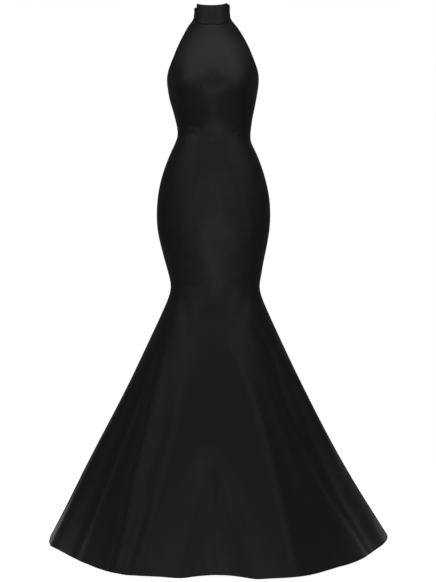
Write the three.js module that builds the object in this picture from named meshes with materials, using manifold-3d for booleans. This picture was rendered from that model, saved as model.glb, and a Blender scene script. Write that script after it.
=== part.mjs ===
// A floor-length halter-neck gown in stiff black silk, close to the body down to the knees and flared
// below them. It is filled out as worn and hollow, open at the neck, the sides, the back and the hem.
// Units are millimetres and +Z is up. The front faces -Y, and +X is the wearer's left. The origin is
// the middle of the neck, inside the collar, where the wearer holds the gown up.
import * as THREE from 'three';
import { mergeVertices } from 'three/addons/utils/BufferGeometryUtils.js';
import Module from 'manifold-3d';

const wasm = await Module();
wasm.setup();

// Driving dimensions. Heights in this file are above the hem until a mesh is placed.
const NECK_HEIGHT = 1600;
const UNDERARM_HEIGHT = 1400;
const WAIST_HEIGHT = 1247;
const SILK_THICKNESS = 2;
const SEAM_GAP = 0.3;
const BACK_SCOOP_DEPTH = 88;
const NECK_SEAM = {
  sides: 1598, dip: 28, curve: 2.4, dipStart: 1470, pullStart: 1490, pullRise: 1.5,
};

// A section of the gown: half its width from the front, the depth of its front and back from the
// plane of the side seams, and the sideways shift of its middle. Above the underarm, half is that of
// the front panel, between its armhole edges.
const SECTIONS = [
  { height: 0, half: 524, front: 470, back: 517, lean: 18 },
  { height: 119, half: 458, front: 410, back: 447, lean: 14 },
  { height: 306, half: 358, front: 317, back: 342, lean: 10 },
  { height: 491, half: 262, front: 226, back: 243, lean: 9 },
  { height: 630, half: 195.5, front: 162, back: 174, lean: 9 },
  { height: 722, half: 153.5, front: 121, back: 132, lean: 9.5 },
  { height: 753, half: 141.5, front: 108.5, back: 119.5, lean: 9.5 },
  { height: 778, half: 136.5, front: 103, back: 114, lean: 9.5 },
  { height: 814, half: 141, front: 103, back: 116, lean: 9 },
  { height: 854, half: 150, front: 105.5, back: 122, lean: 7 },
  { height: 903, half: 161.5, front: 109, back: 131, lean: 5.5 },
  { height: 952, half: 170.5, front: 111, back: 137.5, lean: 4.5 },
  { height: 1001, half: 173.5, front: 111.5, back: 139, lean: 4.5 },
  { height: 1050, half: 170.5, front: 110.5, back: 134, lean: 4.5 },
  { height: 1099, half: 161.5, front: 108.5, back: 122.5, lean: 4 },
  { height: 1147, half: 147, front: 105, back: 107, lean: 4 },
  { height: 1196, half: 127, front: 99, back: 91, lean: 4 },
  { height: 1223, half: 115, front: 95.5, back: 83.5, lean: 4 },
  { height: 1235, half: 112, front: 94, back: 81, lean: 5 },
  { height: 1250, half: 111.5, front: 94, back: 80, lean: 6 },
  { height: 1287, half: 117, front: 101, back: 83.5, lean: 5 },
  { height: 1317, half: 124, front: 112, back: 89.5, lean: 4 },
  { height: 1347, half: 131.5, front: 124.5, back: 96.5, lean: 2.5 },
  { height: 1378, half: 137, front: 133.5, back: 102.5, lean: 2.5 },
  { height: 1408, half: 139.5, front: 133, back: 106, lean: 2.5 },
  { height: 1434, half: 134.5, front: 126, back: 107, lean: 3 },
  { height: 1462, half: 124, front: 115.5, back: 106, lean: 3.5 },
  { height: 1492, half: 112, front: 102.5, back: 104, lean: 3.5 },
  { height: 1523, half: 98, front: 88, back: 102, lean: 3 },
  { height: 1554, half: 81.5, front: 71.5, back: 100, lean: 2 },
  { height: 1570, half: 72, front: 63.5, back: 98, lean: 1 },
  { height: 1586, half: 60.5, front: 58.5, back: 97, lean: 0.5 },
  { height: 1598, half: 55.5, front: 57, back: 96, lean: 0 },
];

// How far round the figure the armhole edge of the front panel lies, in degrees from centre front.
const ARMHOLE = [
  { height: 1400, turn: 90 },
  { height: 1434, turn: 71 },
  { height: 1462, turn: 63 },
  { height: 1492, turn: 60 },
  { height: 1523, turn: 60 },
  { height: 1554, turn: 63 },
  { height: 1570, turn: 67 },
  { height: 1586, turn: 73 },
  { height: 1598, turn: 79 },
];

// Soft fullness that the cut gives the silk: at the bust and the seat, with the span between.
const SHAPING = [
  { turn: -34, height: 1380, wide: 36, tall: 84, depth: 8 },
  { turn: 34, height: 1380, wide: 36, tall: 84, depth: 8 },
  { turn: 0, height: 1372, wide: 16, tall: 70, depth: -4 },
  { turn: -152, height: 992, wide: 34, tall: 120, depth: 6 },
  { turn: 152, height: 992, wide: 34, tall: 120, depth: 6 },
];

// Folds of the flared skirt, which fade out at their top: depth is outwards at the hem, and width is
// half the fold's spread in degrees.
const FOLDS = [
  { turn: -64, width: 26, depth: -22, top: 640 },
  { turn: -28, width: 20, depth: 30, top: 690 },
  { turn: -12, width: 9, depth: 3, top: 400 },
  { turn: 0, width: 11, depth: -24, top: 400 },
  { turn: 22, width: 21, depth: 38, top: 700 },
  { turn: 68, width: 30, depth: -21, top: 650 },
  { turn: 102, width: 18, depth: 12, top: 260 },
  { turn: 131, width: 17, depth: -24, top: 520 },
  { turn: 156, width: 21, depth: 30, top: 660 },
  { turn: 181, width: 12, depth: -25, top: 430 },
  { turn: 205, width: 20, depth: 33, top: 680 },
  { turn: 230, width: 18, depth: -22, top: 560 },
  { turn: 253, width: 17, depth: 13, top: 480 },
];
const FOLD_RISE = 1.4;

// Stretches of each panel from the hem up, with the rows of facets in each.
const STRETCHES = [
  { to: 690, rows: 8 },
  { to: 820, rows: 6 },
  { to: 1205, rows: 10 },
  { to: 1265, rows: 4 },
  { to: UNDERARM_HEIGHT, rows: 5 },
  { to: NECK_SEAM.sides, rows: 8 },
];
const FRONT_COLUMNS = 40;
const BACK_COLUMNS = 20;

// The collar: a tall front block, and two lower bands that run from behind it to the nape.
const COLLAR_FRONT = { radiusX: 57.4, radiusY: 62, endTurn: 54.5, columns: 14, rows: 4 };
const COLLAR_BAND = {
  radiusX: 54.4, radiusY: 59, backY: 50, startTurn: 46, clearTurn: 62, columns: 30, rows: 3,
};
const COLLAR_BASE_FLARE = 1.5;
const COLLAR_BASE_RISE = 16;
const COLLAR_FRONT_TOP = { centre: 1626.5, right: 1634.5, left: 1637 };
const LAP = { from: 157, to: 172, underEnd: 186, overEnd: 193 };
const BAND_RISE = { height: 8, from: 80, to: 160 };
// Upper edges of the two bands, by degrees from centre front.
const BAND_TOPS = [
  { turn: 46, left: 1633, right: 1622 },
  { turn: 60, left: 1634, right: 1624 },
  { turn: 90, left: 1634, right: 1625 },
  { turn: 135, left: 1635, right: 1630 },
  { turn: 193, left: 1637, right: 1637 },
];
const BUTTON = { radius: 5.5, depth: 3.6, turn: 184, inset: 9, stand: 1, segments: 16 };
// A button's profile, from the middle of its back: out is a share of its radius, up of its depth.
const BUTTON_PROFILE = [
  { out: 0, up: 0 },
  { out: 0.86, up: 0 },
  { out: 1, up: 0.34 },
  { out: 0.8, up: 0.8 },
  { out: 0.42, up: 1 },
  { out: 0, up: 1 },
];

// The concealed zip in the centre back seam, with its slider at the top and its pull tab hanging.
const ZIP = { top: 1310, bottom: 983, halfWidth: 12, tapeThickness: 1, tapeGap: 0.9, columns: 4 };
const SLIDER = { height: 1301, width: 6, tall: 9, depth: 2, clear: 0.5 };
const EAR = { thick: 1, gap: 3.8, reach: 4.1, rise: 0.8, tall: 3 };
const PIN = { radius: 0.6, segments: 12 };
const PULL = { neck: 3, elbow: 5, wide: 6, length: 24, thick: 1, segments: 12 };
const EYE = { radius: 1.5, holeRadius: 0.9, segments: 10 };

const silk = new THREE.MeshStandardMaterial({ color: '#1b1b1c', roughness: 0.55, metalness: 0 });
const zipTapeCloth = new THREE.MeshStandardMaterial({ color: '#161617', roughness: 0.85, metalness: 0 });
const blackMetal = new THREE.MeshStandardMaterial({ color: '#202022', roughness: 0.35, metalness: 1 });

const radians = THREE.MathUtils.degToRad;
const smooth = (value, from, to) => THREE.MathUtils.smoothstep(value, from, to);

// A natural cubic spline through one column of a table, by another of its columns.
function splineOf(table, column, key = 'height') {
  const n = table.length;
  const x = table.map((row) => row[key]);
  const y = table.map((row) => row[column]);
  const bend = new Array(n).fill(0);
  const carry = new Array(n).fill(0);
  for (let i = 1; i < n - 1; i++) {
    const share = (x[i] - x[i - 1]) / (x[i + 1] - x[i - 1]);
    const pivot = share * bend[i - 1] + 2;
    const slopes = (y[i + 1] - y[i]) / (x[i + 1] - x[i]) - (y[i] - y[i - 1]) / (x[i] - x[i - 1]);
    bend[i] = (share - 1) / pivot;
    carry[i] = ((6 * slopes) / (x[i + 1] - x[i - 1]) - share * carry[i - 1]) / pivot;
  }
  bend[n - 1] = 0;
  for (let i = n - 2; i >= 0; i--) bend[i] = bend[i] * bend[i + 1] + carry[i];
  return (at) => {
    const inside = THREE.MathUtils.clamp(at, x[0], x[n - 1]);
    let i = 0;
    while (i < n - 2 && inside > x[i + 1]) i++;
    const span = x[i + 1] - x[i];
    const b = (inside - x[i]) / span;
    const a = 1 - b;
    const cubic = ((a ** 3 - a) * bend[i] + (b ** 3 - b) * bend[i + 1]) * (span ** 2 / 6);
    return a * y[i] + b * y[i + 1] + cubic;
  };
}

const halfAt = splineOf(SECTIONS, 'half');
const frontAt = splineOf(SECTIONS, 'front');
const backAt = splineOf(SECTIONS, 'back');
const leanAt = splineOf(SECTIONS, 'lean');
const armholeSpline = splineOf(ARMHOLE, 'turn');
const edgeTurnAt = (height) => (height <= UNDERARM_HEIGHT ? 90 : Math.min(90, armholeSpline(height)));

// A rounded bump: 1 in the middle, 0 from distance 1 outwards.
const bump = (distance) => (distance < 1 ? (1 + Math.cos(Math.PI * distance)) / 2 : 0);

// The least angle between two turns, in degrees.
const turnApart = (a, b) => Math.abs(THREE.MathUtils.euclideanModulo(a - b + 180, 360) - 180);

// How far the silk stands out from its plain section, at a turn and height.
function fullness(turn, height) {
  let out = 0;
  for (const { turn: middle, width, depth, top } of FOLDS) {
    const share = Math.max(0, (top - height) / top);
    out += depth * bump(turnApart(turn, middle) / width) * share ** FOLD_RISE;
  }
  for (const { turn: middle, height: level, wide, tall, depth } of SHAPING) {
    const apart = Math.hypot(turnApart(turn, middle) / wide, (height - level) / tall);
    out += depth * bump(apart);
  }
  return out;
}

// A point of the gown's outer surface. Turn is in degrees, 0 at centre front and 90 at the left side.
function gownPoint(turn, height) {
  const angle = radians(turn);
  const out = fullness(turn, height);
  const depth = Math.cos(angle) > 0 ? frontAt(height) : backAt(height);
  const half = halfAt(height) / Math.sin(radians(edgeTurnAt(height)));
  return new THREE.Vector3(
    leanAt(height) + (half + out) * Math.sin(angle),
    -(depth + out) * Math.cos(angle),
    height
  );
}

// The outward unit normal of a surface, which is a function of a place across it and one up it.
function normalOf(surface, across, up) {
  const step = 0.02;
  const acrossStep = surface(across + step, up).sub(surface(across - step, up));
  const upStep = surface(across, up + step).sub(surface(across, up - step));
  return acrossStep.cross(upStep).normalize();
}

// A closed wall of cloth over a grid: place(column, row) gives where a grid point is across and up
// the surface, and out is how far the outer face lies off it.
function clothWall({ surface, place, columns, rows, thickness = SILK_THICKNESS, out = 0 }) {
  const positions = [];
  const layers = [out, out - thickness];
  for (const layer of layers) {
    for (let row = 0; row <= rows; row++) {
      for (let column = 0; column <= columns; column++) {
        const { across, up } = place(column, row);
        const point = surface(across, up).addScaledVector(normalOf(surface, across, up), layer);
        positions.push(point.x, point.y, point.z - NECK_HEIGHT);
      }
    }
  }
  const wide = columns + 1;
  const inner = wide * (rows + 1);
  const faces = [];
  const quad = (a, b, c, d) => faces.push(a, b, c, a, c, d);
  for (let row = 0; row < rows; row++) {
    for (let column = 0; column < columns; column++) {
      const a = row * wide + column;
      quad(a, a + 1, a + wide + 1, a + wide);
      quad(inner + a, inner + a + wide, inner + a + wide + 1, inner + a + 1);
    }
  }
  for (let column = 0; column < columns; column++) {
    const top = rows * wide + column;
    quad(column, inner + column, inner + column + 1, column + 1);
    quad(top, top + 1, inner + top + 1, inner + top);
  }
  for (let row = 0; row < rows; row++) {
    const left = row * wide;
    const right = left + columns;
    quad(left, left + wide, inner + left + wide, inner + left);
    quad(right, inner + right, inner + right + wide, right + wide);
  }
  const geometry = new THREE.BufferGeometry();
  geometry.setAttribute('position', new THREE.Float32BufferAttribute(positions, 3));
  geometry.setIndex(faces);
  geometry.computeVertexNormals();
  return geometry;
}

// The heights of the rows of facets along the side seam and the armhole edge, from the hem up.
function rowHeights() {
  const heights = [0];
  for (const { to, rows } of STRETCHES) {
    const from = heights[heights.length - 1];
    for (let row = 1; row <= rows; row++) heights.push(from + ((to - from) * row) / rows);
  }
  return heights;
}
const ROW_HEIGHTS = rowHeights();
const UNDERARM_ROW = ROW_HEIGHTS.findIndex((height) => height >= UNDERARM_HEIGHT - 1e-6);

// A turn moved along its section by a real distance, in millimetres.
const shifted = (turn, height, distance) => turn + THREE.MathUtils.radToDeg(distance / halfAt(height));

// How far the collar seam dips, at a share of the way from centre front to the side of the neck.
const neckDip = (share) => NECK_SEAM.dip * Math.max(0, 1 - Math.abs(share) ** NECK_SEAM.curve);

// The height of the collar seam at a turn.
const neckSeam = (turn) => NECK_SEAM.sides - neckDip(turn / edgeTurnAt(NECK_SEAM.sides));

// A point on the collar: an oval, a little wider at its base, deeper in front than behind.
function collarPoint(turn, height, { radiusX, radiusY, backY = radiusY }, lift = 0) {
  const angle = radians(turn);
  const base = neckSeam(turn);
  const flare = COLLAR_BASE_FLARE * (1 - smooth(height, base, base + COLLAR_BASE_RISE)) + lift;
  const depth = Math.cos(angle) > 0 ? radiusY : backY;
  return new THREE.Vector3((radiusX + flare) * Math.sin(angle), -(depth + flare) * Math.cos(angle), height);
}

// The place where the front panel is sewn to the collar: under the front block, then under a band.
function collarSeamPoint(turn) {
  const onBand = smooth(Math.abs(turn), COLLAR_BAND.startTurn, COLLAR_BAND.clearTurn);
  const height = neckSeam(turn);
  return collarPoint(turn, height, COLLAR_FRONT).lerp(collarPoint(turn, height, COLLAR_BAND), onBand);
}

// A point of the front panel. Across is the percentage of the way from centre front to its edge, and
// level is the height at that edge. Towards the top the panel is drawn in to the collar.
function frontPoint(across, level) {
  const share = across / 100;
  const dip = neckDip(share) * smooth(level, NECK_SEAM.dipStart, NECK_SEAM.sides);
  const seamTurn = share * edgeTurnAt(NECK_SEAM.sides);
  const pull = collarSeamPoint(seamTurn).sub(gownPoint(seamTurn, neckSeam(seamTurn)));
  const mirrored = 2 * NECK_SEAM.sides - NECK_SEAM.pullStart;
  const drawn = (2 * smooth(level, NECK_SEAM.pullStart, mirrored)) ** NECK_SEAM.pullRise;
  return gownPoint(share * edgeTurnAt(level), level - dip).addScaledVector(pull, drawn);
}

// The front panel, cut in one from the collar seam to the hem, with its armhole edges.
function frontPanel() {
  const place = (column, row) => {
    const level = ROW_HEIGHTS[row];
    const seam = shifted(0, level, SEAM_GAP / 2) / edgeTurnAt(level);
    return { across: 100 * (1 - seam) * ((2 * column) / FRONT_COLUMNS - 1), up: level };
  };
  return clothWall({ surface: frontPoint, place, columns: FRONT_COLUMNS, rows: ROW_HEIGHTS.length - 1 });
}

// The height on a back panel of a row that leaves the side seam at a level: the top is scooped.
function backHeight(turn, level) {
  if (level <= WAIST_HEIGHT) return level;
  const top = UNDERARM_HEIGHT - BACK_SCOOP_DEPTH * smooth(90 - turnApart(turn, 180), 0, 90);
  const share = (level - WAIST_HEIGHT) / (UNDERARM_HEIGHT - WAIST_HEIGHT);
  return THREE.MathUtils.lerp(WAIST_HEIGHT, top, share);
}

// One back panel, from the side seam to the centre back seam. Side is 1 for the wearer's left.
function backPanel(side) {
  const place = (column, row) => {
    const level = ROW_HEIGHTS[row];
    const across = side > 0 ? column / BACK_COLUMNS : 1 - column / BACK_COLUMNS;
    const seam = shifted(0, level, SEAM_GAP / 2);
    const turn = 90 + seam + across * (90 - 2 * seam);
    return { across: side * turn, up: backHeight(turn, level) };
  };
  return clothWall({ surface: gownPoint, place, columns: BACK_COLUMNS, rows: UNDERARM_ROW });
}

// The tall front block of the collar, whose top dips at the middle.
function collarFront() {
  const { endTurn, columns, rows } = COLLAR_FRONT;
  const surface = (turn, height) => collarPoint(turn, height, COLLAR_FRONT);
  const place = (column, row) => {
    const turn = endTurn * ((2 * column) / columns - 1);
    const end = turn < 0 ? COLLAR_FRONT_TOP.right : COLLAR_FRONT_TOP.left;
    const high = THREE.MathUtils.lerp(COLLAR_FRONT_TOP.centre, end, (turn / endTurn) ** 2);
    return { across: turn, up: THREE.MathUtils.lerp(neckSeam(turn) + SEAM_GAP, high, row / rows) };
  };
  return clothWall({ surface, place, columns, rows });
}

const bandTops = { left: splineOf(BAND_TOPS, 'left', 'turn'), right: splineOf(BAND_TOPS, 'right', 'turn') };
const bandTop = (side, turn) => (side > 0 ? bandTops.left(turn) : bandTops.right(turn));

// The lower edge of a band: it lies on the collar seam, then rises a little towards the nape.
const bandLow = (turn) =>
  neckSeam(turn) + 2 * SEAM_GAP + BAND_RISE.height * smooth(turn, BAND_RISE.from, BAND_RISE.to);

// The wearer's left band laps over the right one at the nape.
function lapLift(side, turn) {
  const lift = SILK_THICKNESS + 2 * SEAM_GAP;
  return side > 0 ? lift * smooth(turn, LAP.from, LAP.to) : 0;
}

// A point of a band's outer surface, with its turn counted away from centre front on its own side.
const bandPoint = (side, turn, height) =>
  collarPoint(side * turn, height, COLLAR_BAND, lapLift(side, turn));

// One collar band, from behind the front block to its end at the nape.
function collarBand(side) {
  const { startTurn, columns, rows } = COLLAR_BAND;
  const endTurn = side > 0 ? LAP.overEnd : LAP.underEnd;
  const surface = (turn, height) => bandPoint(side, side * turn, height);
  const place = (column, row) => {
    const along = side > 0 ? column / columns : 1 - column / columns;
    const turn = THREE.MathUtils.lerp(startTurn, endTurn, along);
    const height = THREE.MathUtils.lerp(bandLow(turn), bandTop(side, turn), row / rows);
    return { across: side * turn, up: height };
  };
  return clothWall({ surface, place, columns, rows });
}

// A domed covered button, standing on the lapped band with its back towards the neck.
function napeButton() {
  const { radius, depth, segments } = BUTTON;
  const profile = BUTTON_PROFILE.map(({ out, up }) => new THREE.Vector2(out * radius, up * depth));
  return new THREE.LatheGeometry(profile, segments);
}

// A closed three.js geometry as a solid for joining and cutting, and back again.
function toSolid(geometry) {
  const bare = geometry.clone();
  bare.deleteAttribute('normal');
  bare.deleteAttribute('uv');
  const merged = mergeVertices(bare, 1e-4);
  return new wasm.Manifold(
    new wasm.Mesh({
      numProp: 3,
      vertProperties: new Float32Array(merged.attributes.position.array),
      triVerts: new Uint32Array(merged.index.array),
    })
  );
}
function toGeometry(solid) {
  const { vertProperties, triVerts } = solid.getMesh();
  const geometry = new THREE.BufferGeometry();
  geometry.setAttribute('position', new THREE.Float32BufferAttribute(vertProperties, 3));
  geometry.setIndex(Array.from(triVerts));
  geometry.computeVertexNormals();
  return geometry;
}

// The zip's tape, inside the centre back seam: its rows follow those of the back panels.
function zipTape() {
  const levels = ROW_HEIGHTS.filter((level) => level <= UNDERARM_HEIGHT)
    .map((level) => ({ level, height: backHeight(180, level) }))
    .filter(({ height }) => height > ZIP.bottom && height < ZIP.top);
  const place = (column, row) => {
    const { height } = levels[row];
    const across = (2 * column) / ZIP.columns - 1;
    return { across: shifted(180, height, across * ZIP.halfWidth), up: height };
  };
  const out = -(SILK_THICKNESS + ZIP.tapeGap);
  const size = { columns: ZIP.columns, rows: levels.length - 1, thickness: ZIP.tapeThickness };
  return clothWall({ surface: gownPoint, place, ...size, out });
}

// The slider: a plate with two ears that hold the pin of the pull tab, which is its origin.
function zipSlider() {
  const { width, tall, depth } = SLIDER;
  const { thick, gap, reach, rise, tall: earTall } = EAR;
  const plate = new THREE.BoxGeometry(width, depth, tall).translate(0, depth / 2 - reach, 0);
  const ears = [-1, 1].map((side) => {
    const ear = new THREE.BoxGeometry(thick, reach + rise, earTall);
    return ear.translate((side * (gap + thick)) / 2, (rise - reach) / 2, 0);
  });
  const pin = new THREE.CylinderGeometry(PIN.radius, PIN.radius, gap + thick, PIN.segments);
  pin.rotateZ(Math.PI / 2);
  return toGeometry([plate, ...ears, pin].map(toSolid).reduce((whole, piece) => whole.add(piece)));
}

// The pull tab: an eye round the slider's pin, and a drop-shaped tongue hanging from it.
function zipPull() {
  const { neck, elbow, wide, length, thick, segments } = PULL;
  const extruded = (outline, depth, curveSegments) =>
    new THREE.ExtrudeGeometry(outline, { depth, bevelEnabled: false, curveSegments });
  const eyeOutline = new THREE.Shape().absarc(0, 0, EYE.radius, 0, 2 * Math.PI);
  eyeOutline.holes.push(new THREE.Path().absarc(0, 0, EYE.holeRadius, 0, 2 * Math.PI, true));
  const eye = extruded(eyeOutline, neck, EYE.segments);
  eye.translate(0, 0, -neck / 2).rotateY(Math.PI / 2);
  const tongueTop = -(EYE.radius + EYE.holeRadius) / 2;
  const tongueOutline = new THREE.Shape();
  tongueOutline.moveTo(-neck / 2, tongueTop);
  tongueOutline.lineTo(-neck / 2, -elbow);
  tongueOutline.lineTo(-wide / 2, wide / 2 - length);
  tongueOutline.absarc(0, wide / 2 - length, wide / 2, Math.PI, 2 * Math.PI);
  tongueOutline.lineTo(neck / 2, -elbow);
  tongueOutline.lineTo(neck / 2, tongueTop);
  tongueOutline.closePath();
  const tongue = extruded(tongueOutline, thick, segments);
  tongue.translate(0, 0, -thick / 2).rotateX(Math.PI / 2);
  return toGeometry(toSolid(eye).add(toSolid(tongue)));
}

function named(name, geometry, material) {
  const mesh = new THREE.Mesh(geometry, material);
  mesh.name = name;
  return mesh;
}

// Where the slider's pin is: off the silk at the top of the centre back seam.
function pinPlace() {
  const point = gownPoint(180, SLIDER.height);
  const normal = normalOf(gownPoint, 180, SLIDER.height);
  point.addScaledVector(normal, SLIDER.clear + EAR.reach);
  return { point, slope: Math.atan2(normal.z, normal.y) };
}

function zipGroup() {
  const group = new THREE.Group();
  group.add(named('zip_tape', zipTape(), zipTapeCloth));
  const { point, slope } = pinPlace();
  const slider = named('zip_slider', zipSlider(), blackMetal);
  slider.rotation.x = slope;
  const pull = named('zip_pull', zipPull(), blackMetal);
  for (const piece of [slider, pull]) {
    piece.position.set(point.x, point.y, point.z - NECK_HEIGHT);
    group.add(piece);
  }
  return group;
}

function collarGroup() {
  const group = new THREE.Group();
  group.add(named('collar_front', collarFront(), silk));
  group.add(named('collar_band_left', collarBand(1), silk));
  group.add(named('collar_band_right', collarBand(-1), silk));
  const levels = {
    lower: bandLow(BUTTON.turn) + BUTTON.inset,
    upper: bandTop(1, BUTTON.turn) - BUTTON.inset,
  };
  for (const [place, level] of Object.entries(levels)) {
    const button = named(`nape_button_${place}`, napeButton(), silk);
    const surface = (turn, height) => bandPoint(1, turn, height);
    const normal = normalOf(surface, BUTTON.turn, level);
    const foot = surface(BUTTON.turn, level).addScaledVector(normal, BUTTON.stand);
    button.position.set(foot.x, foot.y, foot.z - NECK_HEIGHT);
    button.quaternion.setFromUnitVectors(new THREE.Vector3(0, 1, 0), normal);
    group.add(button);
  }
  return group;
}

const gown = new THREE.Group();
gown.add(named('front', frontPanel(), silk));
gown.add(named('back_left', backPanel(1), silk));
gown.add(named('back_right', backPanel(-1), silk));
gown.add(collarGroup());
gown.add(zipGroup());

export default gown;
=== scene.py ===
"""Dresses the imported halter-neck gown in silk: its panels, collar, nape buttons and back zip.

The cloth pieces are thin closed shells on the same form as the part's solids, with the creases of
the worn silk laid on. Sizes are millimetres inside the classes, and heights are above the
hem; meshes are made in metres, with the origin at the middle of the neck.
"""

from __future__ import annotations

import logging
import math
from dataclasses import dataclass, field
from enum import Enum
from typing import Callable, NamedTuple, Sequence

import bpy
import numpy as np
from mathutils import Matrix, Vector

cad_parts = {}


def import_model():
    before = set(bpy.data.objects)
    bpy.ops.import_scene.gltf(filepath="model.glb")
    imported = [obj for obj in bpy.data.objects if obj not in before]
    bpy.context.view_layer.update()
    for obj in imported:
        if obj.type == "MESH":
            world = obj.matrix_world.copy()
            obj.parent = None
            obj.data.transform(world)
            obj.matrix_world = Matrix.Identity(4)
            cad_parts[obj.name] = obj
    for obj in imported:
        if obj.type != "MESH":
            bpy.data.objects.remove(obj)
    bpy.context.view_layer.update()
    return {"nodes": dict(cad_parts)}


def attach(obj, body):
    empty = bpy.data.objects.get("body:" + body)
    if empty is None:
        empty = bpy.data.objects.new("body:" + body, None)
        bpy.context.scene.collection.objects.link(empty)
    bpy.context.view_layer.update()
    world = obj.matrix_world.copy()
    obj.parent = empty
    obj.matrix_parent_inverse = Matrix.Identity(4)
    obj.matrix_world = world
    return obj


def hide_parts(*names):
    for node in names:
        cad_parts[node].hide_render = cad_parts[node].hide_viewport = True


LOG = logging.getLogger("gown")
MM = 0.001
NECK_HEIGHT = 1600.0
UNDERARM_HEIGHT = 1400.0
WAIST_HEIGHT = 1247.0
SEAM_GAP = 0.3

Array = np.ndarray
Surface = Callable[[Array, Array], Array]
Piece = bpy.types.Object
Material = bpy.types.Material
Tree = bpy.types.NodeTree
Socket = bpy.types.NodeSocket


def smooth(value: Array | float, low: float, high: float) -> Array:
    """Rises smoothly from 0 at low to 1 at high, and is level beyond them."""
    share = np.clip((np.asarray(value, float) - low) / (high - low), 0, 1)
    return share * share * (3 - 2 * share)


def bump(distance: Array) -> Array:
    """A rounded bump: 1 in the middle, 0 from distance 1 outwards."""
    return np.where(np.abs(distance) < 1, (1 + np.cos(np.pi * distance)) / 2, 0.0)


def turn_between(turn: Array, middle: Array | float) -> Array:
    """The signed angle in degrees from a middle to a turn, the short way round."""
    return (np.asarray(turn, float) - middle + 180) % 360 - 180


@dataclass(frozen=True)
class Spline:
    """A natural cubic spline through the rows of a table."""

    x: Array
    y: Array
    bend: Array

    @classmethod
    def through(cls, x: list[float], y: list[float]) -> Spline:
        """Fits the spline.

        Args:
            x: The rows' places, rising.
            y: The rows' values.

        Returns:
            The spline through them.
        """
        x, y = np.asarray(x, float), np.asarray(y, float)
        count, span = len(x), np.diff(x)
        system, slopes = np.eye(count), np.zeros(count)
        for i in range(1, count - 1):
            before, after = span[i - 1], span[i]
            system[i, i - 1 : i + 2] = before / 6, (before + after) / 3, after / 6
            slopes[i] = (y[i + 1] - y[i]) / after - (y[i] - y[i - 1]) / before
        return cls(x, y, np.linalg.solve(system, slopes))

    def __call__(self, at: Array | float) -> Array:
        """The spline's value at each place, held at the ends of the table.

        Args:
            at: The places.

        Returns:
            The values.
        """
        at = np.clip(at, self.x[0], self.x[-1])
        i = np.clip(np.searchsorted(self.x, at, side="left") - 1, 0, len(self.x) - 2)
        span = self.x[i + 1] - self.x[i]
        b = (at - self.x[i]) / span
        a = 1 - b
        cubic = (a**3 - a) * self.bend[i] + (b**3 - b) * self.bend[i + 1]
        return a * self.y[i] + b * self.y[i + 1] + cubic * span**2 / 6


def table(kind: type, *rows: tuple) -> tuple:
    """A table with named columns: each row of values, as the kind that names them."""
    return tuple(kind(*row) for row in rows)


def column(rows: tuple, name: str) -> Spline:
    """The spline through a table's named column, read by its first one."""
    return Spline.through([row[0] for row in rows], [getattr(row, name) for row in rows])


class Section(NamedTuple):
    """A level section of the gown, as in the part's source."""

    height: float
    half: float
    front: float
    back: float
    lean: float


class Armhole(NamedTuple):
    """How far round the figure the armhole edge lies at a height."""

    height: float
    turn: float


class Fullness(NamedTuple):
    """Soft fullness that the cut gives the silk at the bust and the seat."""

    turn: float
    height: float
    wide: float
    tall: float
    depth: float


class Fold(NamedTuple):
    """A fold of the flared skirt, which fades out at its top."""

    turn: float
    width: float
    depth: float
    top: float


class BandTop(NamedTuple):
    """The upper edges of the two collar bands at a turn from centre front."""

    turn: float
    left: float
    right: float


SECTIONS = table(
    Section,
    (0, 524, 470, 517, 18), (119, 458, 410, 447, 14), (306, 358, 317, 342, 10),
    (491, 262, 226, 243, 9), (630, 195.5, 162, 174, 9), (722, 153.5, 121, 132, 9.5),
    (753, 141.5, 108.5, 119.5, 9.5), (778, 136.5, 103, 114, 9.5), (814, 141, 103, 116, 9),
    (854, 150, 105.5, 122, 7), (903, 161.5, 109, 131, 5.5), (952, 170.5, 111, 137.5, 4.5),
    (1001, 173.5, 111.5, 139, 4.5), (1050, 170.5, 110.5, 134, 4.5), (1099, 161.5, 108.5, 122.5, 4),
    (1147, 147, 105, 107, 4), (1196, 127, 99, 91, 4), (1223, 115, 95.5, 83.5, 4),
    (1235, 112, 94, 81, 5), (1250, 111.5, 94, 80, 6), (1287, 117, 101, 83.5, 5),
    (1317, 124, 112, 89.5, 4), (1347, 131.5, 124.5, 96.5, 2.5), (1378, 137, 133.5, 102.5, 2.5),
    (1408, 139.5, 133, 106, 2.5), (1434, 134.5, 126, 107, 3), (1462, 124, 115.5, 106, 3.5),
    (1492, 112, 102.5, 104, 3.5), (1523, 98, 88, 102, 3), (1554, 81.5, 71.5, 100, 2),
    (1570, 72, 63.5, 98, 1), (1586, 60.5, 58.5, 97, 0.5), (1598, 55.5, 57, 96, 0),
)
ARMHOLE = table(
    Armhole,
    (1400, 90), (1434, 71), (1462, 63), (1492, 60), (1523, 60),
    (1554, 63), (1570, 67), (1586, 73), (1598, 79),
)
SHAPING = table(
    Fullness,
    (-34, 1380, 36, 84, 8), (34, 1380, 36, 84, 8), (0, 1372, 16, 70, -4),
    (-152, 992, 34, 120, 6), (152, 992, 34, 120, 6),
)
FOLDS = table(
    Fold,
    (-64, 26, -22, 640), (-28, 20, 30, 690), (-12, 9, 3, 400), (0, 11, -24, 400),
    (22, 21, 38, 700), (68, 30, -21, 650), (102, 18, 12, 260), (131, 17, -24, 520),
    (156, 21, 30, 660), (181, 12, -25, 430), (205, 20, 33, 680), (230, 18, -22, 560),
    (253, 17, 13, 480),
)
FOLD_RISE = 1.4
BAND_TOPS = table(
    BandTop,
    (46, 1633, 1622), (60, 1634, 1624), (90, 1634, 1625), (135, 1635, 1630), (193, 1637, 1637),
)


@dataclass(frozen=True)
class Oval:
    """The plan of a collar piece, deeper in front than behind."""

    radius_x: float
    front_y: float
    back_y: float


BLOCK_OVAL = Oval(57.4, 62, 62)
BAND_OVAL = Oval(54.4, 59, 50)


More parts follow.
